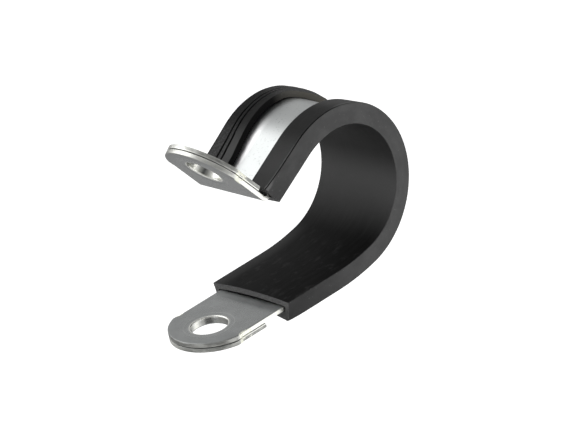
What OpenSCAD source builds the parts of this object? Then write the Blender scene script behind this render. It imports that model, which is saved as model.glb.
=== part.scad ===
// Rubber-lined P clip for pipes and cables: a steel band bent into an open loop with two bolted tabs,
// a reinforcing plate behind each tab, and a rubber channel liner round the loop.
// The origin is the centre of the lower bolt hole on the tab's contact face. +X runs along the lower leg
// towards the loop, +Y across the band and +Z out of the contact face towards the pipe.

/* [Band] */
// Width of the steel band
band_w = 15; // [12:0.5:25]
// Thickness of the steel band
band_t = 0.8; // [0.6:0.05:1.2]

/* [Loop] */
// Straight run of the lower leg under the liner
leg_run = 11.9; // [6:0.1:30]
// Radius of the easy curve between the lower leg and the loop, at the band's pipe side
ease_r = 38.4; // [25:0.1:60]
// Angle of the easy curve
ease_angle = 12.7; // [6:0.1:20]
// Radius of the loop, at the band's pipe side
loop_r = 12.65; // [9:0.05:25]
// Angle of the loop
loop_angle = 172.6; // [160:0.1:185]
// Radius of the curve that leads out of the loop, at the band's pipe side
exit_r = 14.8; // [10:0.1:40]
// Angle of the curve that leads out of the loop
exit_angle = 24; // [8:0.1:28]
// Straight run of the upper leg under the liner
upper_run = 9.55; // [6:0.05:20]

/* [Tabs] */
// Angle of the tight bend between the upper leg and its tab
bend_angle = 80.6; // [70:0.1:90]
// Inside radius of the tight bend
bend_r = 0.7; // [0.6:0.05:1.5]
// Distance from the liner's lower end to the lower bolt hole
lower_setback = 10.2; // [8:0.1:20]
// Distance from the tight bend to the upper bolt hole
upper_setback = 7.5; // [6.7:0.1:15]
// Distance from a bolt hole to the tip of its tab
tip_reach = 6.6; // [6:0.1:9]
// Step at each side where the round tab end was cut
head_step = 0.2; // [0.05:0.05:0.4]
// Amount that the tab end's radius exceeds half the width of the tab end
head_flatness = 0.4; // [0.1:0.1:2]
// Diameter of the bolt holes
bolt_d = 6.4; // [4.3:0.1:8.4]
// Radius of the rounded entry of the bolt holes
entry_r = 0.2; // [0.1:0.05:0.4]
// Width of the pressed ring round a bolt hole, from the hole's wall
press_w = 1.1; // [0.6:0.1:1.6]
// Depth of the pressed ring
press_d = 0.05; // [0.02:0.01:0.1]

/* [Reinforcing plates] */
// Thickness of a reinforcing plate
plate_t = 0.8; // [0.6:0.05:1.5]
// Distance from the bolt hole to the square end of the plate
plate_back = 5.85; // [5:0.05:6.5]
// Gap between a plate and the band
plate_gap = 0.05; // [0.02:0.01:0.15]
// Wall of the drawn collar that passes through a plate
collar_wall = 0.45; // [0.3:0.05:0.8]
// Clearance round the collar
collar_clearance = 0.05; // [0.02:0.01:0.2]
// Distance from the collar's rim to the plate's outer face
collar_recess = 0.2; // [0.1:0.05:0.4]

/* [Liner] */
// Thickness of the web along its edges
web_t = 1; // [0.7:0.05:2]
// Rise of the web's pipe side towards the middle
web_crown = 0.4; // [0.1:0.05:0.8]
// Rise of the web's back off the band at the middle
web_bow = 0.28; // [0.1:0.02:0.6]
// Thickness of the side walls where they leave the web
wall_t = 1.1; // [0.8:0.05:2]
// Gap between the band's edge and the side wall, at the web
edge_gap = 0.4; // [0.1:0.05:0.8]
// Gap between the band's edge and the side wall, at the lip
lip_gap = 0.2; // [0.05:0.05:0.8]
// Distance that the outer face of a side wall leans inwards
wall_lean = 0.5; // [0:0.05:0.6]
// Width of a lip from the crease to its inner edge
lip_w = 4.55; // [2.5:0.05:5.5]
// Thickness of a lip at its inner edge
lip_t = 1.45; // [0.8:0.05:2.5]
// Rise of a lip from its inner edge to the crease
lip_rise = 0.28; // [0.05:0.01:0.5]
// Radius of the crease between lip and side wall
crease_r = 0.25; // [0.1:0.05:0.4]
// Distance from the crease to the ridge along the far lip
ridge_at = 2.5; // [1:0.1:2.5]
// Width of the ridge between the two fine grooves of the far lip
ridge_w = 0.35; // [0.2:0.05:0.6]
// Width of a fine groove
groove_w = 0.25; // [0.1:0.05:0.4]
// Depth of a fine groove
groove_d = 0.15; // [0.05:0.05:0.3]
// Clearance between liner and band
seat_gap = 0.06; // [0.05:0.01:0.1]

/* [Hidden] */
$fn = 96;

past = 1;
// Each curve is this much fuller than the straights and the loop beside it, which run into it by the lap.
fullness = 0.02;
lap = 0.05;

band_half = band_w / 2;
bolt_r = bolt_d / 2;
press_r = bolt_r + press_w;
collar_r = bolt_r + collar_wall;
plate_top = -band_t - plate_gap;
plate_bottom = plate_top - plate_t;
head_half = band_half + head_step;
head_r = head_half + head_flatness;

web_half = band_half + edge_gap + wall_t;
crease_half = web_half - wall_lean;
slot_half = crease_half - lip_w;
lip_edge_u = band_t + seat_gap + lip_t;
crease_u = lip_edge_u + lip_rise;
ridge_u = crease_u - lip_rise * ridge_at / lip_w;
wall_slope = wall_lean / (crease_u + web_t);
space_slope = (edge_gap - lip_gap) / (band_t + 2 * seat_gap);

// The liner's run: straight lower leg, easy curve, loop, leading-out curve, straight upper leg.
// Each entry is [length, radius at the band's pipe side, angle]; a straight has no radius.
run = [
    [leg_run, 0, 0],
    [0, ease_r, ease_angle],
    [0, loop_r, loop_angle],
    [0, exit_r, exit_angle],
    [upper_run, 0, 0]
];
EASE = 1;
LOOP = 2;
EXIT = 3;
UPPER = 4;

// The run lies in the XY plane with the band's width along Z, turning left from +X.
// A section's +X points away from the pipe and its +Y along the width.

// Moves the children from the start of one entry to its end.
module past_entry(entry) {
    if (entry[1] == 0) {
        translate([entry[0], 0, 0]) children();
    } else {
        translate([0, entry[1], 0]) rotate(entry[2]) translate([0, -entry[1], 0]) children();
    }
}

// Moves the children to the start of entry i of the run.
module at_step(i) {
    if (i == 0) {
        children();
    } else {
        at_step(i - 1) past_entry(run[i - 1]) children();
    }
}

// Sweeps a section along a straight, from x = start to x = end.
module straight(start, end) {
    translate([end, 0, 0]) rotate([90, 0, -90]) linear_extrude(end - start) children();
}

// Sweeps a section round an arc to the left, with an extra angle before and after it.
module arc(radius, angle, extra) {
    translate([0, radius, 0]) rotate(-90 - extra) rotate_extrude(angle = angle + 2 * extra)
        translate([radius, 0]) children();
}

// Sweeps child 0 along the upper leg and the loop, and the fuller child 1 round the two curves beside the loop.
module sweep(upper_end) {
    at_step(EASE) arc(ease_r, ease_angle, 0) children(1);
    at_step(LOOP) arc(loop_r, loop_angle, lap / loop_r * 180 / PI) children(0);
    at_step(EXIT) arc(exit_r, exit_angle, 0) children(1);
    at_step(UPPER) straight(-lap, upper_end) children(0);
}

// Stands the run upright and puts the lower bolt hole's centre at the origin.
module upright() {
    translate([lower_setback, 0, 0]) rotate([90, 0, 0]) children();
}

// Moves the children to the end of the tight bend.
module past_bend() {
    translate([0, -band_t - bend_r, 0]) rotate(-bend_angle) translate([0, band_t + bend_r, 0]) children();
}

// The two tabs: contact face at y = 0, body below it, root at x = 0 and tip along +X.
module at_lower_tab() {
    upright() mirror([1, 0, 0]) children();
}

module at_upper_tab() {
    upright() at_step(len(run)) past_bend() children();
}

// Round, slightly wider end of a tab or plate, about a bolt hole at x = hole_x.
module head_outline(hole_x) {
    intersection() {
        translate([hole_x, -head_half]) square([tip_reach, 2 * head_half]);
        translate([hole_x + tip_reach - head_r, 0]) circle(head_r);
    }
}

// Flat outline from x = start to the tip, with a hole of radius hole_r.
module tab_outline(start, hole_x, hole_r) {
    difference() {
        union() {
            translate([start, -band_half]) square([hole_x - start, band_w]);
            head_outline(hole_x);
        }
        translate([hole_x, 0]) circle(hole_r);
    }
}

// Lays a flat outline into a tab, from height top down by depth.
module lay(top, depth) {
    translate([0, top, 0]) rotate([90, 0, 0]) linear_extrude(depth) children();
}

// Section of the pressed ring and the drawn collar, from the hole's axis outwards.
module collar_section() {
    difference() {
        union() {
            translate([bolt_r, -band_t]) square([press_w, band_t - press_d]);
            translate([bolt_r, plate_bottom + collar_recess])
                square([collar_wall, -plate_bottom - collar_recess - press_d]);
        }
        difference() {
            translate([bolt_r, -press_d - entry_r]) square(entry_r);
            translate([bolt_r + entry_r, -press_d - entry_r]) circle(entry_r);
        }
    }
}

// A tab of the band with its bolt hole, reaching back to x = start.
module tab(start, hole_x) {
    lay(0, band_t) tab_outline(start, hole_x, press_r);
    translate([hole_x, 0, 0]) rotate([-90, 0, 0]) rotate_extrude() collar_section();
}

// A reinforcing plate behind a tab.
module plate(hole_x) {
    lay(plate_top, plate_t) tab_outline(hole_x - plate_back, hole_x, collar_r + collar_clearance);
}

// Section of the band, fuller all round by an amount.
module band_section(full) {
    translate([-full, -band_half - full]) square([band_t + 2 * full, band_w + 2 * full]);
}

// Disc whose edge passes through (at_u, half) and (at_u, -half) and rises towards -X between them.
module crowned(at_u, half, rise) {
    big_r = (half * half + rise * rise) / (2 * rise);
    translate([at_u - rise + big_r, 0]) circle(big_r);
}

// Section of the solid channel, before the band's space and the slot are taken out.
module liner_body(full) {
    top = -web_t - web_crown - past;
    intersection() {
        polygon([
            [top, web_half + full + wall_slope * (web_crown + past)],
            [crease_u + full, crease_half + full],
            [lip_edge_u + full, slot_half],
            [lip_edge_u + full, -slot_half],
            [crease_u + full, -crease_half - full],
            [top, -web_half - full - wall_slope * (web_crown + past)]
        ]);
        crowned(-web_t - full, web_half + full, web_crown);
    }
}

// Section of the space that holds the band.
module band_space(full) {
    top = -seat_gap - web_bow - past;
    top_half = band_half + edge_gap - full + space_slope * (web_bow + past);
    floor_half = band_half + lip_gap - full;
    intersection() {
        polygon([
            [top, top_half],
            [band_t + seat_gap - full, floor_half],
            [band_t + seat_gap - full, -floor_half],
            [top, -top_half]
        ]);
        crowned(full - seat_gap, band_half + edge_gap - full, web_bow);
    }
}

// Section of one of the fine grooves, on the ridge's far side (+1) or near side (-1).
module groove(side, full) {
    middle = ridge_at - crease_half + side * (ridge_w + groove_w) / 2;
    translate([ridge_u - groove_d + full, middle - groove_w / 2 + full])
        square([groove_d + past, groove_w - 2 * full]);
}

// Section of the liner: a channel with two lips that fold over the band's outside.
module liner_section(full) {
    difference() {
        liner_body(full);
        band_space(full);
        translate([band_t, -slot_half + full]) square([lip_t + lip_rise + past, 2 * (slot_half - full)]);
        translate([crease_u, crease_half]) circle(crease_r - full);
        translate([crease_u, -crease_half]) circle(crease_r - full);
        groove(1, full);
        groove(-1, full);
    }
}

// One bent strip of zinc-plated steel: lower tab, loop, tight bend and upper tab.
module steel_band() {
    color([0.78, 0.79, 0.80]) {
        at_lower_tab() tab(-leg_run - lap, lower_setback);
        upright() {
            sweep(upper_run + lap) {
                band_section(0);
                band_section(fullness);
            }
            at_step(len(run)) translate([0, -band_t - bend_r, 0]) rotate(90 - bend_angle)
                rotate_extrude(angle = bend_angle) translate([band_t + bend_r, 0]) mirror([1, 0]) band_section(fullness);
        }
        at_upper_tab() tab(-lap, upper_setback);
    }
}

// Plate under the lower tab.
module lower_reinforcing_plate() {
    color([0.74, 0.75, 0.76]) at_lower_tab() plate(lower_setback);
}

// Plate behind the upper tab.
module upper_reinforcing_plate() {
    color([0.74, 0.75, 0.76]) at_upper_tab() plate(upper_setback);
}

// Rubber channel round the loop and both legs.
module rubber_liner() {
    color([0.08, 0.08, 0.08]) upright() {
        straight(0, leg_run + lap) liner_section(0);
        sweep(upper_run) {
            liner_section(0);
            liner_section(fullness);
        }
    }
}

steel_band();
lower_reinforcing_plate();
upper_reinforcing_plate();
rubber_liner();
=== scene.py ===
import math

import bmesh
import bpy
import numpy as np
from mathutils import Matrix, Vector


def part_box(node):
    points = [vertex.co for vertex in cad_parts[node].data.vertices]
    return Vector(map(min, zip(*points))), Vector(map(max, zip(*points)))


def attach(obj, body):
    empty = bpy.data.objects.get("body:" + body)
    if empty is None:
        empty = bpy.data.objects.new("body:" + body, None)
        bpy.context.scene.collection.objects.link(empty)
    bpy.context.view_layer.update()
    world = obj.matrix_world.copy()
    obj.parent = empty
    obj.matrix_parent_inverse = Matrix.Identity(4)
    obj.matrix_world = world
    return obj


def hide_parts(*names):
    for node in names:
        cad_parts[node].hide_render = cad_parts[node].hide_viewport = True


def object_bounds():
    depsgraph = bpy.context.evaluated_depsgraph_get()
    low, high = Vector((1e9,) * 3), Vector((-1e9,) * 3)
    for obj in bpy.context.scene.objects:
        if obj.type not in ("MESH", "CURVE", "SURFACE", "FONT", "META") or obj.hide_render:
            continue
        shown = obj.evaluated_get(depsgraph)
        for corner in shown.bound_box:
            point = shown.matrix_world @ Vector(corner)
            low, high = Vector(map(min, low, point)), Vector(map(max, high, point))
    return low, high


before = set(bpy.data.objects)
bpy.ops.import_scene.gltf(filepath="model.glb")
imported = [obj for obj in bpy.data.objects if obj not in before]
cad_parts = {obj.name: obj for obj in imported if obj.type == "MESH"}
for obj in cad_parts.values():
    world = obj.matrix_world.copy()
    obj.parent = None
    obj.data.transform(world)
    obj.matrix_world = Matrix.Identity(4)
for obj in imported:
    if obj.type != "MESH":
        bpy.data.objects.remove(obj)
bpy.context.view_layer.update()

# ---------------------------------------------------------------------------
# Sizes, in millimetres. Lengths along the strip start at the liner's lower end.
# ---------------------------------------------------------------------------
MM = 0.001

BAND_WIDTH = 15.0
BAND_THICK = 0.8
LEG = 11.9
# Curves as (radius at the band's pipe side, angle in degrees)
EASE = (38.4, 12.7)
LOOP = (12.65, 172.6)
LEAD_OUT = (14.8, 24.0)
UPPER_LEG = 9.55
BEND = (1.5, 80.6)

LOWER_HOLE = -10.2
HOLE_FROM_BEND = 7.5
TIP = 6.6
HEAD_HALF = 7.7
HEAD_RADIUS = 8.1
HEAD_NECK = 0.32
HOLE_RADIUS = 3.2
ENTRY_RADIUS = 0.22
PRESS_RADIUS = 4.3
COLLAR_RADIUS = 3.65
COLLAR_RECESS = 0.2
PLATE_BACK = 5.85
PLATE_THICK = 0.8
PLATE_GAP = 0.1
PLATE_BURNISHED = 0.26

WEB_HALF = 9.0
WEB_THICK = 1.0
WEB_CROWN = 0.4
WEB_BOW = 0.12
CHANNEL_HALF = 7.9
SEAT = 0.06
CREASE = 8.57
CREASE_DROP = 0.24
LIP_THICK = 1.45
FAR_LIP_THICK = 1.2
LIP_EDGE = 3.95
LIP_WIDTH = 4.6
GROOVES_AT = (0.59, 0.385)
GROOVE_DEPTH = 0.3

# What changes along the liner, as lengths along the strip and the value at each: where the far lip's inner edge lies
# across, how far that lip springs off the band, how far its side leans out, and the painted light on its inner edge.
FAR_LIP_EDGE = (
    [12, 24, 32, 50, 53.2, 55.5, 58, 64.6, 66.6, 68.6, 69.6, 74.3],
    [3.95, 4.8, 5.6, 5.95, 5.73, 5.42, 5.12, 4.25, 3.98, 3.65, 3.48, 3.2],
)
FAR_LIP_LIFT = (
    [24, 34, 41, 45, 47, 49, 51, 53, 56, 60, 64, 70],
    [0.0, 0.55, 0.85, 0.74, 0.26, -0.08, -0.16, -0.02, 0.11, 0.15, 0.1, 0.0],
)
FAR_LEAN = ([62, 67], [0.22, 0.06])
# Painted light on the far lip's inner edge: a lit olive tone in place of the painted shade over these lengths
FAR_EDGE_LIT = ([30, 44, 51, 57], [0.0, 1.0, 1.0, 0.0])

# How far the cut ends' effect reaches, what it does to the crease, the web's crown and its bow, and what the lower
# end alone does to the bow, the lips and, over a reach of its own, the near lip's corner
END_REACH = 2.2
END_CREASE = 0.45
END_CROWN = 0.05
END_BOW = 0.12
LOWER_END_BOW = 0.14
LOWER_END_LIP = 0.4
NEAR_SAG = 0.18
SAG_REACH = 5.0

LINER_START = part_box("rubber_liner")[0][0] / MM
SPARE = 2.0
LEAD_IN = -LOWER_HOLE + TIP + SPARE
SHARP_ANGLE = 28


def turn_length(radius, angle):
    return radius * math.radians(angle)


LINER_LENGTH = (
    LEG + turn_length(*EASE) + turn_length(*LOOP) + turn_length(*LEAD_OUT) + UPPER_LEG
)
BEND_END = LINER_LENGTH + turn_length(*BEND)
UPPER_HOLE = BEND_END + HOLE_FROM_BEND


# ---------------------------------------------------------------------------
# The line that the strip follows, and the tree that bends flat work along it
# ---------------------------------------------------------------------------
def strip_line():
    """Points of the band's pipe-side line in the XZ plane, from beyond one tab's tip to beyond the other's."""
    place = np.array([LINER_START - LEAD_IN, 0.0])
    heading = 0.0
    points = [place.copy()]
    parts = [
        (LEAD_IN + LEG, 0, 0),
        (0, *EASE),
        (0, *LOOP),
        (0, *LEAD_OUT),
        (UPPER_LEG, 0, 0),
        (0, -BEND[0], -BEND[1]),
        (HOLE_FROM_BEND + TIP + SPARE, 0, 0),
    ]
    for length, radius, angle in parts:
        if not radius:
            steps = max(2, int(length / 0.2))
            way = np.array([math.cos(heading), math.sin(heading)])
            for i in range(1, steps + 1):
                points.append(place + way * length * i / steps)
            place = points[-1].copy()
            continue
        steps = max(8, int(abs(angle) / 0.8))
        side = np.array([-math.sin(heading), math.cos(heading)])
        centre = place + side * radius
        for i in range(1, steps + 1):
            turn = heading + math.radians(angle) * i / steps
            points.append(centre - np.array([-math.sin(turn), math.cos(turn)]) * radius)
        place = points[-1].copy()
        heading += math.radians(angle)
    return points


def new_object(name, data):
    holder = bpy.data.objects.new(name, data)
    bpy.context.scene.collection.objects.link(holder)
    return holder


def curve_from(points, name):
    line = bpy.data.curves.new(name, "CURVE")
    line.dimensions = "3D"
    spline = line.splines.new("POLY")
    spline.points.add(len(points) - 1)
    for slot, (x, z) in zip(spline.points, points):
        slot.co = (x * MM, 0.0, z * MM, 1.0)
    return new_object(name, line)


class Tree:
    """Small helper that adds and joins nodes in a node tree."""

    def __init__(self, tree):
        self.tree = tree

    def add(self, kind, **settings):
        node = self.tree.nodes.new(kind)
        for name, value in settings.items():
            setattr(node, name, value)
        return node

    def join(self, out, into):
        self.tree.links.new(out, into)

    def maths(self, operation, *values, clamp=False):
        node = self.add("ShaderNodeMath", operation=operation, use_clamp=clamp)
        self.feed(node, values)
        return node.outputs[0]

    def vector(self, operation, *values):
        node = self.add("ShaderNodeVectorMath", operation=operation)
        self.feed(node, values)
        return node.outputs["Value" if operation == "DOT_PRODUCT" else 0]

    def feed(self, node, values):
        for socket, value in zip(node.inputs, values):
            if isinstance(value, bpy.types.NodeSocket):
                self.join(value, socket)
            else:
                socket.default_value = value

    def ramp(self, value, low, high, out_low=0.0, out_high=1.0):
        node = self.add("ShaderNodeMapRange", interpolation_type="SMOOTHSTEP")
        self.feed(node, (value, low, high, out_low, out_high))
        return node.outputs[0]


def empty_tree(owner):
    """The node tree of a material or a world, cleared of the nodes it comes with."""
    owner.use_nodes = True
    owner.node_tree.nodes.clear()
    return Tree(owner.node_tree)


def bend_tree():
    """Bends flat work along a line: its X runs along the line, its Y stays across and its Z stands off the line."""
    tree = bpy.data.node_groups.new("bend_along_line", "GeometryNodeTree")
    face = tree.interface
    face.new_socket("Flat work", in_out="INPUT", socket_type="NodeSocketGeometry")
    face.new_socket("Line", in_out="INPUT", socket_type="NodeSocketObject")
    face.new_socket("Finish", in_out="INPUT", socket_type="NodeSocketMaterial")
    face.new_socket("Bent work", in_out="OUTPUT", socket_type="NodeSocketGeometry")
    t = Tree(tree)
    given = t.add("NodeGroupInput")
    made = t.add("NodeGroupOutput")
    line = t.add("GeometryNodeObjectInfo", transform_space="ORIGINAL")
    t.join(given.outputs["Line"], line.inputs["Object"])
    parts = t.add("ShaderNodeSeparateXYZ")
    t.join(t.add("GeometryNodeInputPosition").outputs[0], parts.inputs[0])
    sample = t.add("GeometryNodeSampleCurve", mode="LENGTH", use_all_curves=True)
    t.join(line.outputs["Geometry"], sample.inputs["Curves"])
    t.join(parts.outputs["X"], sample.inputs["Length"])
    across = (0.0, 1.0, 0.0)
    side = t.vector("CROSS_PRODUCT", sample.outputs["Tangent"], across)
    side = t.vector("NORMALIZE", side)
    scaled = t.add("ShaderNodeVectorMath", operation="SCALE")
    t.join(side, scaled.inputs[0])
    t.join(parts.outputs["Z"], scaled.inputs["Scale"])
    wide = t.add("ShaderNodeCombineXYZ")
    t.join(parts.outputs["Y"], wide.inputs["Y"])
    place = t.vector("ADD", sample.outputs["Position"], scaled.outputs[0])
    place = t.vector("ADD", place, wide.outputs[0])
    move = t.add("GeometryNodeSetPosition")
    t.join(given.outputs["Flat work"], move.inputs["Geometry"])
    t.join(place, move.inputs["Position"])
    real = t.add("GeometryNodeRealizeInstances")
    t.join(move.outputs["Geometry"], real.inputs["Geometry"])
    paint = t.add("GeometryNodeSetMaterial")
    t.join(real.outputs["Geometry"], paint.inputs["Geometry"])
    t.join(given.outputs["Finish"], paint.inputs["Material"])
    t.join(paint.outputs["Geometry"], made.inputs["Bent work"])
    return tree


def socket_id(tree, name):
    return next(
        item.identifier
        for item in tree.interface.items_tree
        if item.name == name and item.in_out == "INPUT"
    )


def bent(name, work, line, tree, finish, node):
    """Flat work as a finished piece.

    work is (verts, faces, marks): verts are (along, across, off) in mm, and marks are named values for each point.
    """
    verts, faces, marks = work
    flat = bpy.data.meshes.new(name + "_flat")
    placed = [((x + LEAD_IN) * MM, y * MM, z * MM) for x, y, z in verts]
    flat.from_pydata(placed, [], faces)
    for mark, values in marks.items():
        layer = flat.attributes.new(mark, "FLOAT", "POINT")
        layer.data.foreach_set("value", np.asarray(values, dtype=np.float32))
    run = flat.attributes.new("run", "FLOAT_VECTOR", "POINT")
    run.data.foreach_set("vector", np.asarray(verts, dtype=np.float32).ravel())
    holder = new_object(name + "_flat", flat)
    modifier = holder.modifiers.new("bend", "NODES")
    modifier.node_group = tree
    modifier[socket_id(tree, "Line")] = line
    modifier[socket_id(tree, "Finish")] = finish
    bpy.context.view_layer.update()
    seen = holder.evaluated_get(bpy.context.evaluated_depsgraph_get())
    mesh = bpy.data.meshes.new_from_object(seen)
    mesh.name = name
    holder.modifiers.remove(modifier)
    bpy.data.objects.remove(holder)
    bpy.data.meshes.remove(flat)
    turned = bmesh.new()
    turned.from_mesh(mesh)
    bmesh.ops.recalc_face_normals(turned, faces=turned.faces)
    turned.to_mesh(mesh)
    turned.free()
    mesh.shade_smooth()
    mesh.set_sharp_from_angle(angle=math.radians(SHARP_ANGLE))
    piece = new_object(name, mesh)
    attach(piece, "root")
    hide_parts(node)
    return piece


# ---------------------------------------------------------------------------
# Finishes
# ---------------------------------------------------------------------------
def finish_group(name, inputs, outputs, build):
    tree = bpy.data.node_groups.new(name, "ShaderNodeTree")
    for label, kind, value in inputs:
        socket = tree.interface.new_socket(label, in_out="INPUT", socket_type=kind)
        if value is not None:
            socket.default_value = value
    for label, kind in outputs:
        tree.interface.new_socket(label, in_out="OUTPUT", socket_type=kind)
    t = Tree(tree)
    build(t, t.add("NodeGroupInput").outputs, t.add("NodeGroupOutput").inputs)
    return tree


def noise(t, place, scale, detail=3.0, rough=0.55):
    node = t.add("ShaderNodeTexNoise")
    t.join(place, node.inputs["Vector"])
    node.inputs["Scale"].default_value = scale
    node.inputs["Detail"].default_value = detail
    node.inputs["Roughness"].default_value = rough
    return node.outputs["Fac"]


def stretched(t, place, x, y, z):
    return t.vector("MULTIPLY", place, (x, y, z))


def mixed(t, amount, first, second):
    node = t.add("ShaderNodeMix", data_type="RGBA")
    for socket, value in ((node.inputs[0], amount), (node.inputs[6], first), (node.inputs[7], second)):
        if isinstance(value, bpy.types.NodeSocket):
            t.join(value, socket)
        else:
            socket.default_value = value
    return node.outputs[2]


def spell(t, length, fade_in, fade_out):
    """The share of a stretch that fades in between one pair of lengths and out between another."""
    return t.maths("MULTIPLY", t.ramp(length, *fade_in), t.ramp(length, *fade_out))


# Stretches in millimetres, each as (fade in, fade out)
OUTER_FACE = ((-0.6, -0.75), (-0.84, -0.81))
BESIDE_LINER = ((-2.2, -0.7), (3.0, 0.5))
# The outside darker towards both ends of the liner
DARKER_ENDS = ((0.0, 24.0, 0.40, 1.0), (56.0, 76.0, 1.0, 0.75))
# The lips darker over one stretch of the loop
DARK_LIPS = ((55.0, 58.5), (66.0, 62.0))
# The lips paler over one stretch of the loop and towards the upper end
PALE_LIPS = ((57.0, 54.0), (30.0, 44.0))
# Painted highlight on the pipe side over this stretch of the loop
INNER_HIGHLIGHT = ((21.0, 33.0), (33.0, 40.0, 1.0, 0.35))


def build_zinc(t, given, made):
    """Satin zinc plate: soft cloudiness, fine pits and faint rolling lines, with marks left by shears and punch,
    painted reflection bands on the drawn hole walls and a painted highlight on the outer face beside the far lip.
    """
    place = given["Object place"]
    run = given["Along strip"]
    clouds = noise(t, place, 350.0, 3.0)
    pits = noise(t, place, 2600.0, 2.0)
    rolled = noise(t, stretched(t, run, 0.35, 6.0, 1.0), 1.1, 3.0)
    sheared = noise(t, stretched(t, run, 9.0, 9.0, 0.6), 1.0, 2.0)
    patches = noise(t, stretched(t, run, 0.7, 0.7, 2.0), 1.0, 3.0)
    streaks = noise(t, stretched(t, run, 1.3, 1.3, 0.08), 1.0, 2.0)
    body = mixed(t, t.ramp(clouds, 0.3, 0.7), given["Dark tone"], given["Light tone"])
    along = t.add("ShaderNodeSeparateXYZ")
    t.join(run, along.inputs[0])
    outer = spell(t, along.outputs["Z"], *OUTER_FACE)
    # Painted highlight: the outer face painted much lighter next to the far lip from the top of the loop on
    outer_highlight = t.maths("MULTIPLY", t.ramp(along.outputs["Y"], 1.8, 2.9), t.ramp(along.outputs["X"], 59.0, 67.0))
    kept = spell(t, along.outputs["X"], *BESIDE_LINER)
    body = mixed(t, kept, body, given["Kept tone"])
    body = mixed(t, outer, body, mixed(t, outer_highlight, given["Outer side tone"], given["Outer face highlight tone"]))
    speck = t.ramp(pits, 0.62, 0.74)
    body = mixed(t, t.maths("MULTIPLY", speck, t.maths("MULTIPLY_ADD", outer, 0.4, 0.35)), body, given["Pit tone"])
    torn = mixed(t, t.ramp(patches, 0.35, 0.65), given["Torn dark tone"], given["Torn tone"])
    edge = mixed(t, t.ramp(sheared, 0.35, 0.7), given["Edge dark tone"], given["Edge tone"])
    edge = mixed(t, given["Torn"], edge, torn)
    # Painted reflection: drawn hole walls darkened by angle round each hole, broken up by streaky noise
    uneven = t.maths("MULTIPLY_ADD", streaks, 0.3, -0.15)
    drawn = t.maths("MULTIPLY_ADD", uneven, t.ramp(given["Wall reflection"], 0.0, 0.1), given["Wall reflection"], clamp=True)
    edge = mixed(t, drawn, edge, given["Wall reflection tone"])
    tone = mixed(t, given["Edge"], body, edge)
    ragged = t.maths("MULTIPLY_ADD", patches, 1.2, t.maths("SUBTRACT", given["Nick"], 0.6))
    nick = t.maths("MULTIPLY", t.ramp(ragged, 0.42, 0.55), t.ramp(given["Nick"], 0.0, 0.2))
    t.join(mixed(t, nick, tone, given["Nick tone"]), made["Base Color"])
    rough = t.maths("MULTIPLY_ADD", clouds, 0.14, given["Roughness"])
    rough = t.maths("MULTIPLY_ADD", speck, 0.12, rough)
    rough = t.maths("MULTIPLY_ADD", nick, 0.3, rough)
    rough = t.maths("MULTIPLY_ADD", t.maths("MAXIMUM", kept, t.maths("MULTIPLY", outer, 0.45)), 0.18, rough)
    edge_rough = t.maths("MULTIPLY", given["Torn"], 0.12)
    t.join(t.maths("ADD", rough, edge_rough, clamp=True), made["Roughness"])
    high = t.maths("MULTIPLY", pits, 0.3)
    high = t.maths("MULTIPLY_ADD", rolled, 0.5, high)
    high = t.maths("MULTIPLY_ADD", t.maths("MULTIPLY", patches, given["Torn"]), 4.0, high)
    high = t.maths("MULTIPLY_ADD", nick, 2.0, high)
    t.join(high, made["Bump Height"])


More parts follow.
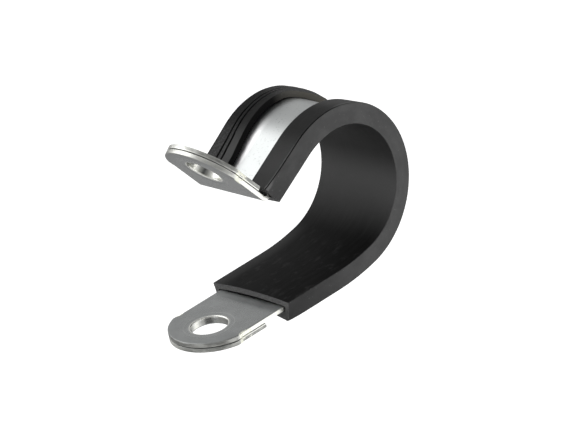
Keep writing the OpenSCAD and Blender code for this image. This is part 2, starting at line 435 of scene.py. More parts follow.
def build_rubber(t, given, made):
    """Extruded black rubber: lengthwise flow marks, fine grain, chalky dust on the outside and cut ends painted paler
    as lit faces. The pipe side is painted dark as shade and carries painted highlights; the far lip's inner edge
    carries painted light.
    """
    place = given["Object place"]
    run = given["Along strip"]
    inside = given["Pipe side"]
    cut = given["Cut end"]
    flow = noise(t, stretched(t, run, 0.14, 1.5, 1.5), 0.9, 4.0, 0.6)
    blotch = noise(t, stretched(t, run, 0.35, 0.5, 0.5), 0.8, 3.0)
    grain = noise(t, place, 3200.0, 2.0)
    dust = noise(t, place, 2300.0, 1.0)
    outside = mixed(t, t.ramp(blotch, 0.35, 0.7), given["Outer dark"], given["Outer light"])
    along = t.add("ShaderNodeSeparateXYZ")
    t.join(run, along.inputs[0])
    # The outside darker towards both ends of the liner
    ends = spell(t, along.outputs["X"], *DARKER_ENDS)
    outside = mixed(t, ends, given["Outer darkest"], outside)
    dusty = t.maths("MULTIPLY", t.ramp(dust, 0.70, 0.78), 0.6)
    outside = mixed(t, dusty, outside, given["Dust and pale lip tone"])
    side = t.maths("SUBTRACT", 1.0, inside, clamp=True)
    off_middle = t.maths("ABSOLUTE", along.outputs["Y"])
    lips = t.maths("MULTIPLY", t.ramp(along.outputs["Z"], -1.7, -2.1), side)
    lips = t.maths("MULTIPLY", lips, t.ramp(off_middle, 8.5, 8.35))
    far = t.maths("MULTIPLY", lips, t.ramp(along.outputs["Y"], 5.2, 6.0))
    pebbles = noise(t, place, 3300.0, 3.0, 0.7)
    # The lips darker over one stretch of the loop
    dark = t.maths("MULTIPLY", t.maths("MULTIPLY", spell(t, along.outputs["X"], *DARK_LIPS), lips), 0.55)
    outside = mixed(t, dark, outside, given["Outer darkest"])
    # The lips paler over one stretch of the loop and towards the upper end
    pale = spell(t, along.outputs["X"], *PALE_LIPS)
    pale = t.maths("MAXIMUM", t.ramp(along.outputs["X"], 63.0, 69.0), pale)
    pale = t.maths("MULTIPLY", t.maths("MULTIPLY", pale, lips), 0.9)
    outside = mixed(t, pale, outside, given["Dust and pale lip tone"])
    pebbled = t.maths("MULTIPLY", far, t.ramp(pebbles, 0.60, 0.44, 0.0, 0.45))
    outside = mixed(t, pebbled, outside, given["Outer darkest"])
    # Painted shade: the pipe side painted far darker than the outside
    bore = mixed(t, t.ramp(flow, 0.35, 0.75), given["Pipe side shade dark"], given["Pipe side shade light"])
    # Painted highlight: a lighter band along the pipe side round the loop
    inner_highlight = spell(t, along.outputs["X"], *INNER_HIGHLIGHT)
    smudge = noise(t, stretched(t, run, 0.5, 0.9, 1.0), 0.7, 4.0, 0.7)
    chalky = t.maths("MULTIPLY", t.ramp(smudge, 0.52, 0.72), t.ramp(along.outputs["X"], 24.0, 14.0, 0.0, 0.3))
    # Painted highlight along the far edge of the pipe side near the lower end, added to the chalky patches
    near_end = t.ramp(along.outputs["X"], 24.0, 16.0, 0.0, 0.85)
    far_edge_highlight = t.maths("MULTIPLY", t.ramp(along.outputs["Y"], 5.2, 8.9), near_end)
    bore = mixed(t, t.maths("MAXIMUM", chalky, far_edge_highlight), bore, given["Inner highlight and chalk tone"])
    bore = mixed(t, inner_highlight, bore, given["Inner highlight and chalk tone"])
    body = mixed(t, inside, outside, bore)
    body = mixed(t, given["Shade"], body, given["Shade tone"])
    # Painted light: the far lip's inner edge in a lit olive tone
    body = mixed(t, given["Lit edge"], body, given["Lit edge tone"])
    # Painted light: the cut ends painted paler than the outside, as faces turned to the light
    cut_tone = mixed(t, t.ramp(grain, 0.3, 0.7), given["Cut dark"], given["Cut light"])
    t.join(mixed(t, cut, body, cut_tone), made["Base Color"])
    rough = t.maths("MULTIPLY_ADD", blotch, 0.14, given["Roughness"])
    rough = t.maths("MULTIPLY_ADD", inside, given["Inner smoother"], rough)
    t.join(t.maths("MULTIPLY_ADD", cut, 0.15, rough, clamp=True), made["Roughness"])
    high = t.maths("MULTIPLY", grain, 0.7)
    high = t.maths("MULTIPLY_ADD", flow, 1.2, high)
    high = t.maths("MULTIPLY_ADD", t.maths("MULTIPLY", pebbles, lips), 1.5, high)
    high = t.maths("MULTIPLY_ADD", t.maths("MULTIPLY", pebbles, far), 3.0, high)
    t.join(high, made["Bump Height"])


def surface(name, group, wired, bump, constants):
    """A material whose finish comes from one node group.

    wired are the group's inputs taken from attributes, bump is (strength, distance in metres), and constants are
    set on the shader itself.
    """
    material = bpy.data.materials.new(name)
    t = empty_tree(material)
    output = t.add("ShaderNodeOutputMaterial")
    shader = t.add("ShaderNodeBsdfPrincipled")
    t.join(shader.outputs[0], output.inputs["Surface"])
    finish = t.add("ShaderNodeGroup", node_tree=group)
    t.join(t.add("ShaderNodeTexCoord").outputs["Object"], finish.inputs["Object place"])
    for label, attribute in wired.items():
        read = t.add("ShaderNodeAttribute", attribute_name=attribute)
        t.join(read.outputs["Vector" if attribute == "run" else "Fac"], finish.inputs[label])
    t.join(finish.outputs["Base Color"], shader.inputs["Base Color"])
    t.join(finish.outputs["Roughness"], shader.inputs["Roughness"])
    relief = t.add("ShaderNodeBump")
    relief.inputs["Strength"].default_value, relief.inputs["Distance"].default_value = bump
    t.join(finish.outputs["Bump Height"], relief.inputs["Height"])
    t.join(relief.outputs[0], shader.inputs["Normal"])
    for label, value in constants.items():
        shader.inputs[label].default_value = value
    return material


def grey(level, tint=(1.0, 1.0, 1.0)):
    return (level * tint[0], level * tint[1], level * tint[2], 1.0)


COOL = (0.97, 1.0, 0.995)
WARM = (1.0, 1.01, 0.96)
CREAM = (0.995, 1.0, 0.9)
COLOR = "NodeSocketColor"
VALUE = "NodeSocketFloat"
PLACE = "NodeSocketVector"
OUTPUTS = [("Base Color", COLOR), ("Roughness", VALUE), ("Bump Height", VALUE)]

zinc_group = finish_group(
    "zinc_plate_finish",
    [
        ("Object place", PLACE, None),
        ("Along strip", PLACE, None),
        ("Edge", VALUE, 0.0),
        ("Wall reflection", VALUE, 0.0),
        ("Torn", VALUE, 0.0),
        ("Nick", VALUE, 0.0),
        ("Pit tone", COLOR, grey(0.26, COOL)),
        ("Wall reflection tone", COLOR, grey(0.14, COOL)),
        ("Torn tone", COLOR, grey(0.42, WARM)),
        ("Torn dark tone", COLOR, grey(0.27, WARM)),
        ("Nick tone", COLOR, grey(0.92, CREAM)),
        ("Dark tone", COLOR, grey(0.30, COOL)),
        ("Light tone", COLOR, grey(0.345, COOL)),
        ("Outer side tone", COLOR, grey(0.47, COOL)),
        ("Outer face highlight tone", COLOR, grey(0.88)),
        ("Kept tone", COLOR, grey(0.50, COOL)),
        ("Edge dark tone", COLOR, grey(0.90, CREAM)),
        ("Edge tone", COLOR, grey(0.98)),
        ("Roughness", VALUE, 0.20),
    ],
    OUTPUTS,
    build_zinc,
)
rubber_group = finish_group(
    "extruded_rubber_finish",
    [
        ("Object place", PLACE, None),
        ("Along strip", PLACE, None),
        ("Pipe side", VALUE, 0.0),
        ("Cut end", VALUE, 0.0),
        ("Shade", VALUE, 0.0),
        ("Shade tone", COLOR, grey(0.004)),
        ("Lit edge", VALUE, 0.0),
        ("Lit edge tone", COLOR, grey(0.08, (1.05, 1.0, 0.88))),
        ("Outer dark", COLOR, grey(0.052)),
        ("Outer light", COLOR, grey(0.064)),
        ("Outer darkest", COLOR, grey(0.008)),
        ("Pipe side shade dark", COLOR, grey(0.003)),
        ("Pipe side shade light", COLOR, grey(0.008)),
        ("Inner highlight and chalk tone", COLOR, grey(0.073)),
        ("Cut dark", COLOR, grey(0.095)),
        ("Cut light", COLOR, grey(0.130)),
        ("Dust and pale lip tone", COLOR, grey(0.10)),
        ("Roughness", VALUE, 0.50),
        ("Inner smoother", VALUE, -0.05),
    ],
    OUTPUTS,
    build_rubber,
)
zinc = surface(
    "zinc_plated_steel",
    zinc_group,
    {"Along strip": "run", "Edge": "edge", "Wall reflection": "drawn", "Torn": "torn", "Nick": "nick"},
    (0.11, 0.00002),
    {"Metallic": 1.0},
)
rubber = surface(
    "black_rubber",
    rubber_group,
    {"Along strip": "run", "Pipe side": "pipe_side", "Cut end": "cut", "Shade": "shade", "Lit edge": "lit_edge"},
    (0.35, 0.00003),
    {"Specular IOR Level": 0.05},
)


# ---------------------------------------------------------------------------
# Sheet metal: the band and its plates, as flat blanks
# ---------------------------------------------------------------------------
HEAD_STEPS = 72
HOLE_STEPS = 96
ENTRY_STEPS = 6


def head_points(hole, way):
    """Edge of a tab's round end, from its shoulder on the near side round the tip to the far side."""
    centre = hole + way * (TIP - HEAD_RADIUS)
    rise = math.asin(HEAD_HALF / HEAD_RADIUS)
    points = [(hole, -HEAD_HALF)]
    for i in range(HEAD_STEPS + 1):
        a = -rise + 2 * rise * i / HEAD_STEPS
        points.append((centre + way * HEAD_RADIUS * math.cos(a), HEAD_RADIUS * math.sin(a)))
    points.append((hole, HEAD_HALF))
    return points


def inset(outline, amount):
    """An outline moved inwards by an amount. The outline runs anticlockwise."""
    points = np.array(outline, float)
    ahead = np.roll(points, -1, axis=0) - points
    ahead /= np.linalg.norm(ahead, axis=1)[:, None]
    left = np.stack([-ahead[:, 1], ahead[:, 0]], axis=1)
    joint = left + np.roll(left, 1, axis=0)
    joint /= np.linalg.norm(joint, axis=1)[:, None]
    stretch = np.clip((joint * left).sum(axis=1), 0.35, 1.0)
    return points + joint * (amount / stretch)[:, None]


# The blank's edge as (inwards, down from the top face) and (inwards, up from the bottom face)
RIM = [(0.45, 0.0), (0.16, 0.0), (0.09, 0.012), (0.04, 0.04), (0.01, 0.09), (0.0, 0.15), (0.0, 0.28), (0.0, 0.36)]
BURR = [(0.0, 0.06), (0.012, 0.025), (0.05, 0.0), (0.3, 0.0)]
NICK_REACH = 0.85

# Painted reflection on a drawn hole wall, as angles round it in degrees and how dark it is painted at each
LOWER_WALL_REFLECTION = ([-20, 5, 30, 70, 90, 130], [0.8, 0.6, 0.9, 0.8, 0.1, 0.9])
UPPER_WALL_REFLECTION = ([60, 105, 135, 165], [0.4, 0.0, 1.0, 0.0])
PLAIN_WALL = ([0], [0.0])


def blank(outline, holes, top, thick, ladder, burnished):
    """A closed flat blank. outline is a closed anticlockwise loop of (along, across).

    holes are (x, y, section, wall). A section runs from the top face to the bottom face as (radius, height, edge,
    drawn), and wall is how dark the painted reflection on the drawn part is round it. ladder holds the indices of the
    outline's two long sides where faces are laid straight across, or nothing; the rest is filled round the holes.
    burnished is the depth to which the sheared edge is bright; below it the edge is torn.
    """
    verts, faces = [], []
    marks = {"edge": [], "drawn": [], "torn": [], "nick": []}
    count = len(outline)
    rings = []
    for inwards, z in [(d, top - h) for d, h in RIM] + [(d, top - thick + h) for d, h in BURR]:
        rings.append(range(len(verts), len(verts) + count))
        verts += [(x, y, z) for x, y in inset(outline, inwards)]
        sheared = 0.0 if inwards > 0.1 else min(1.0, max(0.25, (top - z) / 0.12))
        low = 1.0 if top - z > burnished else 0.0
        marks["edge"] += [sheared] * count
        marks["drawn"] += [0.0] * count
        # Torn share of the edge, lessened on the plates' far tips to paint a highlight there
        marks["torn"] += [max(low, head_share(x)) * far_highlight_share(x, y, ladder) for x, y in outline]
        marks["nick"] += [0.0 if inwards > 0.2 else shoulder_share(x) for x, _ in outline]
    for a, b in zip(rings, rings[1:]):
        for i in range(count):
            j = (i + 1) % count
            faces.append((a[i], b[i], b[j], a[j]))
    hole_loops = []
    for x, y, section, wall in holes:
        loops = []
        # How dark the painted reflection is at each step round the hole
        dark = np.interp(np.arange(HOLE_STEPS) * 360 / HOLE_STEPS, *wall, period=360)
        for radius, z, edge, drawn in section:
            loops.append(range(len(verts), len(verts) + HOLE_STEPS))
            for k in range(HOLE_STEPS):
                a = 2 * math.pi * k / HOLE_STEPS
                verts.append((x + radius * math.cos(a), y + radius * math.sin(a), z))
            marks["edge"] += [edge] * HOLE_STEPS
            marks["drawn"] += list(drawn * dark)
            marks["torn"] += [0.0] * HOLE_STEPS
            marks["nick"] += [0.0] * HOLE_STEPS
        for a, b in zip(loops, loops[1:]):
            for k in range(HOLE_STEPS):
                j = (k + 1) % HOLE_STEPS
                faces.append((a[k], b[k], b[j], a[j]))
        hole_loops.append((loops[0], loops[-1]))
    for ring, which in ((rings[0], 0), (rings[-1], 1)):
        if ladder:
            i0, i1, _, j1 = ladder
            for k in range(i1 - i0):
                faces.append((ring[i0 + k], ring[i0 + k + 1], ring[j1 - k - 1], ring[j1 - k]))
        for span in fill_spans(count, ladder):
            loop = [ring[i % count] for i in span]
            inner = [
                h[which]
                for h, (x, y, *_) in zip(hole_loops, holes)
                if in_loop([verts[v] for v in loop], x, y)
            ]
            faces += filled(verts, loop, inner)
    return verts, faces, marks


def head_share(along):
    """How far the punch tore the edge: most round the lower tab's end, less round the upper, none along the sides."""
    if along > UPPER_HOLE + 0.1:
        return 0.6
    return 0.0 if along > LOWER_HOLE - 0.1 else 1.0


def far_highlight_share(along, across, ladder):
    """The plates' ends take less of the torn tone towards the far side of their tips, a painted highlight there."""
    if ladder or LOWER_HOLE - 0.1 < along < UPPER_HOLE + 0.1:
        return 1.0
    return float(np.interp(across, [-1.0, 3.0], [1.0, 0.15]))


def shoulder_share(along):
    """1 at a tab's shoulder, where the edge is smeared, falling to 0 a little way off."""
    away = min(abs(along - LOWER_HOLE), abs(along - UPPER_HOLE))
    return max(0.0, 1.0 - away / NICK_REACH)


def fill_spans(count, ladder):
    """The stretches of the outline outside the ladder, one for each end of the strip."""
    if not ladder:
        return [range(count)]
    i0, i1, j0, j1 = ladder
    return [range(i1, j0 + 1), range(j1, count + i0 + 1)]


def in_loop(loop, x, y):
    """Whether a place lies inside a closed loop of points."""
    inside = False
    for (ax, ay, _), (bx, by, _) in zip(loop, loop[1:] + loop[:1]):
        if (ay > y) != (by > y) and x < (bx - ax) * (y - ay) / (by - ay) + ax:
            inside = not inside
    return inside


def filled(verts, loop, inner):
    """Flat triangles between a loop and the holes inside it."""
    work = bmesh.new()
    made = {}
    edges = []
    for ring in [loop] + [list(h) for h in inner]:
        for index in ring:
            made[index] = work.verts.new(verts[index])
        for a, b in zip(ring, ring[1:] + ring[:1]):
            edges.append(work.edges.new((made[a], made[b])))
    bmesh.ops.triangle_fill(work, use_beauty=True, use_dissolve=False, edges=edges)
    number = {vert: index for index, vert in made.items()}
    faces = [tuple(number[v] for v in face.verts) for face in work.faces]
    work.free()
    return faces


def hole_section(collar_end):
    """A drawn bolt hole: pressed ring, rounded entry, a wall with painted streaky reflection bands and the collar
    that passes through the plate.
    """
    press = PRESS_RADIUS
    entry = HOLE_RADIUS + ENTRY_RADIUS
    out = [(press + 0.45, 0.0, 0.0, 0.0), (press + 0.1, 0.0, 0.0, 0.0)]
    out += [(press + 0.05, -0.004, 0.18, 0.0), (press - 0.04, -0.04, 0.0, 0.0)]
    out += [(entry + 0.3, -0.05, 0.0, 0.0), (entry + 0.15, -0.056, 0.16, 0.0), (entry + 0.06, -0.06, 0.0, 0.0)]
    for i in range(ENTRY_STEPS + 1):
        a = math.pi / 2 * i / ENTRY_STEPS
        radius = HOLE_RADIUS + ENTRY_RADIUS * (1 - math.sin(a))
        out.append((radius, -0.06 - ENTRY_RADIUS * (1 - math.cos(a)), 0.85, 0.2))
    out += [(HOLE_RADIUS, -0.42, 1.0, 1.0), (HOLE_RADIUS, collar_end + 0.2, 1.0, 1.0)]
    out += [(HOLE_RADIUS, collar_end + 0.1, 0.0, 1.0), (HOLE_RADIUS + 0.05, collar_end, 0.0, 1.0)]
    out += [(COLLAR_RADIUS - 0.05, collar_end, 0.8, 0.0), (COLLAR_RADIUS, collar_end + 0.05, 0.8, 0.0)]
    out += [(COLLAR_RADIUS, -BAND_THICK - 0.02, 0.4, 0.0), (COLLAR_RADIUS + 0.02, -BAND_THICK, 0.2, 0.0)]
    out += [(COLLAR_RADIUS + 0.6, -BAND_THICK, 0.0, 0.0)]
    return out


def plate_hole_section(top):
    """The plain hole in a plate, a little wider than the collar and rolled over at its lower edge."""
    r = COLLAR_RADIUS + 0.05
    low = top - PLATE_THICK
    return [
        (r + 0.5, top, 0.0, 0.0),
        (r + 0.05, top, 0.2, 0.0),
        (r, top - 0.05, 0.8, 0.0),
        (r, low + 0.12, 0.8, 0.0),
        (r + 0.03, low + 0.04, 0.6, 0.0),
        (r + 0.12, low, 0.2, 0.0),
        (r + 0.5, low, 0.0, 0.0),
    ]


# Where the band's faces are laid straight across: from this far off a hole's centre, with wide steps along the
# straight lower leg and narrow ones from just before the first curve
LADDER_FROM_HOLE = 5.4
NARROW_FROM = 10.5
WIDE_STEP = 1.5
NARROW_STEP = 0.4
BEND_STEPS = 28
BEND_MARGIN = 0.3


def band_blank():
    half = BAND_WIDTH / 2
    upper = head_points(UPPER_HOLE, 1)
    stations = list(np.arange(LOWER_HOLE + LADDER_FROM_HOLE, NARROW_FROM, WIDE_STEP))
    stations += list(np.arange(NARROW_FROM, LINER_LENGTH - BEND_MARGIN, NARROW_STEP))
    stations += list(np.linspace(LINER_LENGTH - BEND_MARGIN, BEND_END + BEND_MARGIN, BEND_STEPS))
    stations += [UPPER_HOLE - LADDER_FROM_HOLE]
    outline = [(LOWER_HOLE + HEAD_NECK, -half)] + [(s, -half) for s in stations]
    outline += [(UPPER_HOLE - HEAD_NECK, -half)] + upper + [(UPPER_HOLE - HEAD_NECK, half)]
    outline += [(s, half) for s in reversed(stations)] + [(LOWER_HOLE + HEAD_NECK, half)]
    outline += head_points(LOWER_HOLE, -1)[::-1]
    near_end = len(stations)
    far_start = near_end + len(upper) + 3
    ladder = (1, near_end, far_start, far_start + len(stations) - 1)
    section = hole_section(-(BAND_THICK + PLATE_GAP + PLATE_THICK - COLLAR_RECESS))
    holes = [(LOWER_HOLE, 0.0, section, LOWER_WALL_REFLECTION), (UPPER_HOLE, 0.0, section, UPPER_WALL_REFLECTION)]
    return blank(outline, holes, 0.0, BAND_THICK, ladder, BAND_THICK)


def plate_blank(hole, way):
    """A reinforcing plate. way is -1 for the lower one, whose tip points back along the strip, 1 for the upper."""
    half = BAND_WIDTH / 2
    top = -(BAND_THICK + PLATE_GAP)
    back = hole - way * PLATE_BACK
    neck = hole - way * HEAD_NECK
    outline = [(back, half), (back, -half), (neck, -half)] + head_points(hole, way) + [(neck, half)]
    if way < 0:
        outline = outline[::-1]
    holes = [(hole, 0.0, plate_hole_section(top), PLAIN_WALL)]
    return blank(outline, holes, top, PLATE_THICK, (), PLATE_BURNISHED)


# ---------------------------------------------------------------------------
# The liner: its section, stood along the strip and shaped a little at the cut ends
# ---------------------------------------------------------------------------
def lip_share(off):
    """How far a point follows a lip's movement: not at all on the pipe side, fully from 2 mm down the side."""
    return min(1.0, max(0.0, -off / 2.0))


def liner_section(s):
    """Outline of the channel's section at a length along the strip, as (across, off, pipe side, shade, bare)."""
    low = math.exp(-s / END_REACH)
    high = math.exp(-(LINER_LENGTH - s) / END_REACH)
    ends = low + high
    crease = CREASE - END_CREASE * ends
    under = -(BAND_THICK + SEAT)
    crease_off = under - LIP_THICK - CREASE_DROP
    crown = WEB_CROWN + END_CROWN * ends
    bow = WEB_BOW + END_BOW * ends + LOWER_END_BOW * low
    # How much painted light the far lip's inner edge carries at this length
    lit_edge = float(np.interp(s, *FAR_EDGE_LIT))
    out = []

    def put(side, points, pipe=0.0, shade=0.0, lit_share=0.0):
        out.extend((side * y, h, pipe, shade, lit_share) for y, h in points)

    def far_side(points):
        """The far side stands more upright than the near side, and its lip springs off the band round the loop."""
        lean = float(np.interp(s, *FAR_LEAN))
        lift = float(np.interp(s, *FAR_LIP_LIFT))
        upright = [(y + lean * min(1.0, (WEB_THICK - h) / 3.0) * (y > 5.5), h) for y, h in points]
        return [(y, h - lift * lip_share(h)) for y, h in upright]

    def near_side(points):
        """The near lip's outer corner sags a little at the lower end."""
        sag = NEAR_SAG * math.exp(-s / SAG_REACH)
        return [(y, h - sag * lip_share(h) * ((y - LIP_EDGE) / LIP_WIDTH) ** 2) for y, h in reversed(points)]

    def lip_parts(edge, thick):
        """The outside of a lip from its crease to its inner edge, then the edge itself and the underside."""
        edge_off = under - thick + LOWER_END_LIP * low
        start = crease - 0.3

        def on(share, sunk=0.0):
            return edge + (start - edge) * share, edge_off + (crease_off - edge_off) * share + sunk

        def groove(middle):
            shoulders = on(middle + 0.05), on(middle - 0.05)
            floor = on(middle + 0.035, GROOVE_DEPTH), on(middle - 0.035, GROOVE_DEPTH)
            return shoulders[0], *floor, shoulders[1]

        face = [on(share) for share in (0.93, 0.82, 0.7)]
        grooves = [groove(middle) for middle in GROOVES_AT]
        strip = [on(share) for share in (0.24, 0.12)] + [(edge + 0.12, edge_off)]
        tip = [(edge + 0.035, edge_off + 0.035), (edge, edge_off + 0.12)]
        tip += [(edge, edge_off + thick / 2), (edge, under - 0.16)]
        foot = [(edge + 0.01, under - 0.06), (edge + 0.07, under)]
        return face, grooves, strip, tip, foot

    top = np.linspace(-WEB_HALF + 0.16, WEB_HALF - 0.16, 33)
    put(1, [(y, WEB_THICK + crown * (1 - (y / WEB_HALF) ** 2)) for y in top], pipe=1.0)
    corner = [(WEB_HALF - 0.07, WEB_THICK + 0.012), (WEB_HALF - 0.02, WEB_THICK - 0.04), (WEB_HALF, WEB_THICK - 0.12)]
    lean_in = (crease - WEB_HALF) / (WEB_THICK - crease_off)
    wall = [(WEB_HALF + lean_in * d, WEB_THICK - d) for d in np.linspace(0.25, WEB_THICK - crease_off - 0.2, 8)]
    wall += [(crease + 0.02, crease_off + 0.17), (crease - 0.03, crease_off + 0.13)]
    fold = [(crease - 0.14, crease_off + 0.34), (crease - 0.29, crease_off + 0.32)]
    turned = [(crease - 0.3, crease_off + 0.04), (crease - 0.34, crease_off)]
    channel = [(CHANNEL_HALF - 0.2, under), (CHANNEL_HALF, SEAT)]

    face, grooves, strip, tip, foot = lip_parts(float(np.interp(s, *FAR_LIP_EDGE)), FAR_LIP_THICK)
    put(1, corner + far_side(wall))
    put(1, far_side(fold), shade=1.0)
    put(1, far_side(turned + face))
    for groove in grooves:
        put(1, far_side(groove[:1]))
        put(1, far_side(groove[1:3]), shade=1.0)
        put(1, far_side(groove[3:]))
    put(1, far_side(strip))
    # The far lip's inner edge: painted shade, turning into painted light where the lit share rises
    put(1, far_side(tip), shade=1.0 - lit_edge, lit_share=lit_edge)
    put(1, far_side(foot), shade=1.0)
    put(1, channel, shade=1.0)
    back = np.linspace(CHANNEL_HALF - 0.5, -CHANNEL_HALF + 0.5, 17)
    put(1, [(y, SEAT + bow * (1 - (y / CHANNEL_HALF) ** 2)) for y in back], shade=1.0)

    face, grooves, strip, tip, foot = lip_parts(LIP_EDGE, LIP_THICK)
    put(-1, (tip + foot + channel)[::-1], shade=1.0)
    put(-1, near_side(turned + face + [groove[0] for groove in grooves] + strip))
    put(-1, near_side(fold), shade=1.0)
    put(-1, near_side(corner + wall))
    return out


# Lengths along the liner at which its section stands: close together at the cut ends, then at an even step
END_STATIONS = [0.03, 0.1, 0.3, 0.6, 1.0, 1.5, 2.0, 2.6]
EVEN_FROM = 3.2
EVEN_STEP = 0.36


def liner_flat():
    stations = END_STATIONS + list(np.arange(EVEN_FROM, LINER_LENGTH - EVEN_FROM, EVEN_STEP))
    stations += [LINER_LENGTH - s for s in reversed(END_STATIONS)]
    verts, faces = [], []
    marks = {"pipe_side": [], "cut": [], "shade": [], "lit_edge": []}
    rings = []

    def ring(section, s, is_cut):
        rings.append(range(len(verts), len(verts) + len(section)))
        for y, h, pipe, shade, lit_edge in section:
            verts.append((s, y, h))
            marks["pipe_side"].append(0.0 if is_cut else pipe)
            marks["cut"].append(1.0 if is_cut else 0.0)
            marks["shade"].append(0.0 if is_cut else shade)
            marks["lit_edge"].append(0.0 if is_cut else lit_edge)

    def face_ring(s, amount):
        section = liner_section(min(max(s, 0.0), LINER_LENGTH))
        flat = [(y, h) for y, h, *_ in section]
        moved = inset(flat[::-1], amount)[::-1]
        return [(y, h, 0.0, 0.0, 0.0) for y, h in moved]

    ring(face_ring(0.0, 0.04), 0.0, True)
    ring(face_ring(0.0, 0.015), 0.008, True)
    for s in stations:
        ring(liner_section(s), s, False)
    ring(face_ring(LINER_LENGTH, 0.015), LINER_LENGTH - 0.008, True)
    ring(face_ring(LINER_LENGTH, 0.04), LINER_LENGTH, True)
    count = len(rings[0])
    for a, b in zip(rings, rings[1:]):
        for i in range(count):
            j = (i + 1) % count
            faces.append((a[i], a[j], b[j], b[i]))
    faces.append(tuple(rings[0]))
    faces.append(tuple(reversed(rings[-1])))
    return verts, faces, marks


# ---------------------------------------------------------------------------
# Pieces
# ---------------------------------------------------------------------------
line = curve_from(strip_line(), "strip_line")
tree = bend_tree()

band = bent("steel_band_strip", band_blank(), line, tree, zinc, "steel_band")
lower_plate = bent("lower_plate", plate_blank(LOWER_HOLE, -1), line, tree, zinc, "lower_reinforcing_plate")
upper_plate = bent("upper_plate", plate_blank(UPPER_HOLE, 1), line, tree, zinc, "upper_reinforcing_plate")
liner = bent("liner_channel", liner_flat(), line, tree, rubber, "rubber_liner")
bpy.data.objects.remove(line)


# ---------------------------------------------------------------------------
# Floor, light and camera
# ---------------------------------------------------------------------------
FLOOR_DROP = 0.045
FLOOR_LIFT = 0.85
FLOOR_SHEEN = (0.95, 0.08)
ROOM_LIGHT = 0.16
PANEL_WAY = (-0.30, 0.68, 0.66)
PANEL_EDGE = (0.83, 0.94)
PANEL_LEVEL = 2.35
WALL_WAY = (0.588, 0.691, 0.42)
WALL_EDGE = (0.70, 0.95)
WALL_LEVEL = 0.85
FRONT_WAY = (-0.5, -0.8, 0.4)
FRONT_EDGE = (0.60, 0.90)
FRONT_LEVEL = 0.5
CARD_TURN = 225.0
CARD_AWAY = 0.06
CARD_SIZE = (0.056, 0.042)
CARD_LEVEL = 0.28
SOFTBOX_SIZE = 0.5
SOFTBOXES = [
    ("overhead_softbox", (0.0, 0.0, 1.0), 1.2),
    ("near_softbox", (0.0, -1.0, 0.1), 13.0),
    ("side_softbox", (-0.7, 0.7, 0.1), 7.0),
]
FLOOR_REACH = 6.0
FLOOR_TONE = 0.86
SHEEN_SPAN = 0.06

# The camera's turn, rise and roll in degrees, then the place it looks at, its distance and its lens in millimetres
CAMERA = (-40.397, 24.884, -11.842, (22.028, 0.0, 9.485), 1100.574, 409.02)


def floor_material():
    material = bpy.data.materials.new("pale_floor")
    t = empty_tree(material)
    output = t.add("ShaderNodeOutputMaterial")
    base = t.add("ShaderNodeBsdfDiffuse")
    base.inputs["Color"].default_value = grey(FLOOR_TONE)
    lift = t.add("ShaderNodeEmission")
    lift.inputs["Color"].default_value = grey(1.0)
    parts = t.add("ShaderNodeSeparateXYZ")
    t.join(t.add("ShaderNodeTexCoord").outputs["Object"], parts.inputs[0])
    sheen = t.ramp(parts.outputs["Y"], -SHEEN_SPAN, SHEEN_SPAN, *FLOOR_SHEEN)
    t.join(t.maths("MULTIPLY", background_ray(t, sheen), FLOOR_LIFT), lift.inputs["Strength"])
    both = t.add("ShaderNodeAddShader")
    t.join(base.outputs[0], both.inputs[0])
    t.join(lift.outputs[0], both.inputs[1])
    t.join(both.outputs[0], output.inputs["Surface"])
    return material


def background_ray(t, reflected=1.0):
    """1 for the rays that meet the white background: seen or let through, and reflected with a share of its own."""
    path = t.add("ShaderNodeLightPath")
    seen = t.maths("MAXIMUM", path.outputs["Is Camera Ray"], path.outputs["Is Transmission Ray"])
    return t.maths("MAXIMUM", seen, t.maths("MULTIPLY", path.outputs["Is Glossy Ray"], reflected))


def world_light():
    """A soft white room, with a bright ceiling panel behind and a quieter wall for the metal to show."""
    world = bpy.data.worlds.new("soft_room")
    bpy.context.scene.world = world
    t = empty_tree(world)
    output = t.add("ShaderNodeOutputWorld")
    shade = t.add("ShaderNodeBackground")
    place = t.add("ShaderNodeTexCoord").outputs["Generated"]
    panel = t.ramp(t.vector("DOT_PRODUCT", place, PANEL_WAY), *PANEL_EDGE, 0.0, PANEL_LEVEL)
    wall = t.ramp(t.vector("DOT_PRODUCT", place, WALL_WAY), *WALL_EDGE, 1.0, WALL_LEVEL)
    front = t.ramp(t.vector("DOT_PRODUCT", place, FRONT_WAY), *FRONT_EDGE, 1.0, FRONT_LEVEL)
    room = t.maths("ADD", t.maths("MULTIPLY", wall, front), panel)
    path = t.add("ShaderNodeLightPath")
    glossy = path.outputs["Is Glossy Ray"]
    shown = t.maths("MULTIPLY_ADD", glossy, t.maths("SUBTRACT", room, 1.0), 1.0)
    back = background_ray(t)
    plain = t.maths("SUBTRACT", 1.0, back, clamp=True)
    total = t.maths("MULTIPLY_ADD", plain, ROOM_LIGHT, t.maths("MULTIPLY", back, shown))
    t.join(total, shade.inputs["Strength"])
    t.join(shade.outputs[0], output.inputs["Surface"])


def softbox(name, place, aim, power):
    lamp = bpy.data.lights.new(name, "AREA")
    lamp.shape = "RECTANGLE"
    lamp.size = lamp.size_y = SOFTBOX_SIZE
    lamp.energy = power
    holder = new_object(name, lamp)
    holder.location = place
    holder.visible_glossy = False
    way = Vector(aim) - Vector(place)
    holder.rotation_euler = way.to_track_quat("-Z", "Y").to_euler()


def sheet(name, corners, material):
    """A flat sheet through four corners."""
    mesh = bpy.data.meshes.new(name)
    mesh.from_pydata(corners, [], [(0, 1, 2, 3)])
    mesh.materials.append(material)
    return new_object(name, mesh)


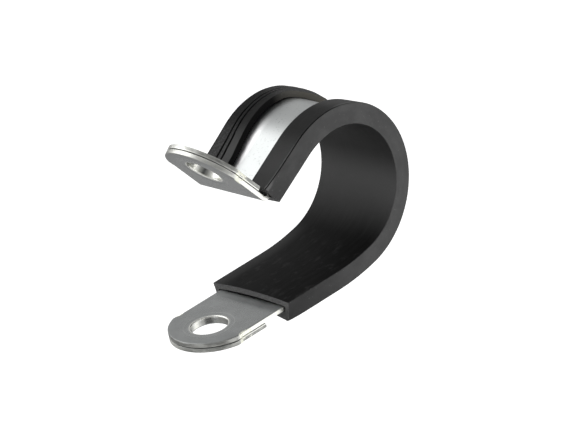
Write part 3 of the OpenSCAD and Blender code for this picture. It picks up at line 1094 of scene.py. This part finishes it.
def pale_floor(height):
    r = FLOOR_REACH
    floor = sheet("floor", [(-r, -r, height), (r, -r, height), (r, r, height), (-r, r, height)], floor_material())


def dark_card(floor_height):
    """A dark card that stands on the floor below the camera's line and shows only in the metal."""
    material = bpy.data.materials.new("dark_card")
    t = empty_tree(material)
    glow = t.add("ShaderNodeEmission")
    glow.inputs["Color"].default_value = grey(CARD_LEVEL)
    t.join(glow.outputs[0], t.add("ShaderNodeOutputMaterial").inputs["Surface"])
    a = math.radians(CARD_TURN)
    out = Vector((math.cos(a), math.sin(a), 0.0)) * CARD_AWAY
    side = Vector((-math.sin(a), math.cos(a), 0.0)) * CARD_SIZE[0] / 2
    foot = Vector((0.0, 0.0, floor_height)) + out
    tall = Vector((0.0, 0.0, CARD_SIZE[1]))
    card = sheet("dark_card", [foot - side, foot + side, foot + side + tall, foot - side + tall], material)
    card.visible_camera = card.visible_diffuse = card.visible_shadow = card.visible_transmission = False


def camera_at(turn, rise, roll, aim, distance, lens):
    """A camera that looks at a place from an angle round it and above it, rolled about its own line of sight."""
    a, e, r = (math.radians(v) for v in (turn, rise, roll))
    back = Vector((math.sin(a) * math.cos(e), -math.cos(a) * math.cos(e), math.sin(e)))
    right = (-back).cross(Vector((0, 0, 1))).normalized()
    up = right.cross(-back)
    right, up = right * math.cos(r) + up * math.sin(r), up * math.cos(r) - right * math.sin(r)
    view = bpy.data.cameras.new("camera")
    view.sensor_width = 36.0
    view.lens = lens
    view.clip_end = 20.0
    holder = new_object("camera", view)
    pose = Matrix((right, up, back)).transposed().to_4x4()
    pose.translation = Vector(aim) * MM + back * distance * MM
    holder.matrix_world = pose
    bpy.context.scene.camera = holder


low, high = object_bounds()
middle = [(a + b) / 2 for a, b in zip(low, high)]
floor_height = low[2] - FLOOR_DROP
pale_floor(floor_height)
dark_card(floor_height)
world_light()
for name, place, power in SOFTBOXES:
    softbox(name, place, middle, power)
camera_at(*CAMERA)
bpy.context.scene.view_settings.view_transform = "Standard"
